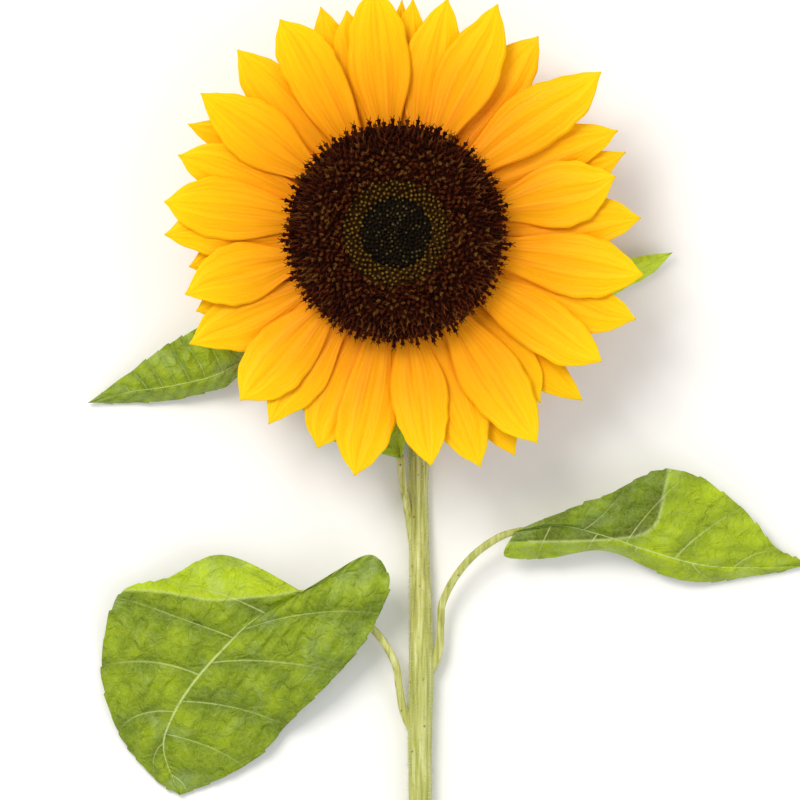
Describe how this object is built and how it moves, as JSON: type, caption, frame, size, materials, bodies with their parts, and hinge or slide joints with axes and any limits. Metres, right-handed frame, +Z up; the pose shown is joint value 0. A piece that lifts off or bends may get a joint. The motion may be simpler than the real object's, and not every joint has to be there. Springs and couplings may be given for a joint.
{
  "type": "cut sunflower",
  "caption": "Cut sunflower laid on its back: yellow petals round a dark brown disc with a gold ring, green bracts behind, and a bent-neck stem with leaves lying along the surface.",
  "frame": {"origin": "middle of the footprint, on the surface that the flower lies on", "axes": "+Z up out of the face of the flower, +Y from the cut end of the stem towards the head, +X to the right seen from above"},
  "size_m": [0.2444, 0.3276, 0.0426],
  "materials": {
    "petal_yellow": "satin",
    "floret_brown": "matte",
    "floret_gold": "matte",
    "floret_bud": "matte",
    "stem_green": "satin",
    "bract_green": "matte",
    "leaf_green": "satin"
  },
  "bodies": {
    "root": {"stem": "stem_green", "receptacle": "bract_green", "disc_open_florets": "floret_brown", "disc_opening_florets": "floret_gold", "disc_closed_buds": "floret_bud", "petal_01": "petal_yellow", "petal_02": "petal_yellow", "petal_03": "petal_yellow", "petal_04": "petal_yellow", "petal_05": "petal_yellow", "petal_06": "petal_yellow", "petal_07": "petal_yellow", "petal_08": "petal_yellow", "petal_09": "petal_yellow", "petal_10": "petal_yellow", "petal_11": "petal_yellow", "petal_12": "petal_yellow", "petal_13": "petal_yellow", "petal_14": "petal_yellow", "petal_15": "petal_yellow", "petal_16": "petal_yellow", "petal_17": "petal_yellow", "petal_18": "petal_yellow", "petal_19": "petal_yellow", "petal_20": "petal_yellow", "petal_21": "petal_yellow", "petal_22": "petal_yellow", "petal_23": "petal_yellow", "petal_24": "petal_yellow", "petal_25": "petal_yellow", "petal_26": "petal_yellow", "petal_27": "petal_yellow", "petal_28": "petal_yellow", "petal_29": "petal_yellow", "petal_30": "petal_yellow", "petal_31": "petal_yellow", "petal_32": "petal_yellow", "petal_33": "petal_yellow", "petal_34": "petal_yellow", "petal_35": "petal_yellow", "petal_36": "petal_yellow", "petal_37": "petal_yellow", "petal_38": "petal_yellow", "bract_01": "bract_green", "bract_02": "bract_green", "bract_03": "bract_green", "bract_04": "bract_green", "bract_05": "bract_green", "bract_06": "bract_green", "bract_07": "bract_green", "bract_08": "bract_green", "bract_09": "bract_green", "bract_10": "bract_green", "bract_11": "bract_green", "bract_12": "bract_green", "leaf_lower_left": "leaf_green", "leaf_right": "leaf_green", "leaf_upper_left": "leaf_green", "leaf_upper_right": "leaf_green", "leaf_small": "leaf_green"}
  },
  "joints": []
}
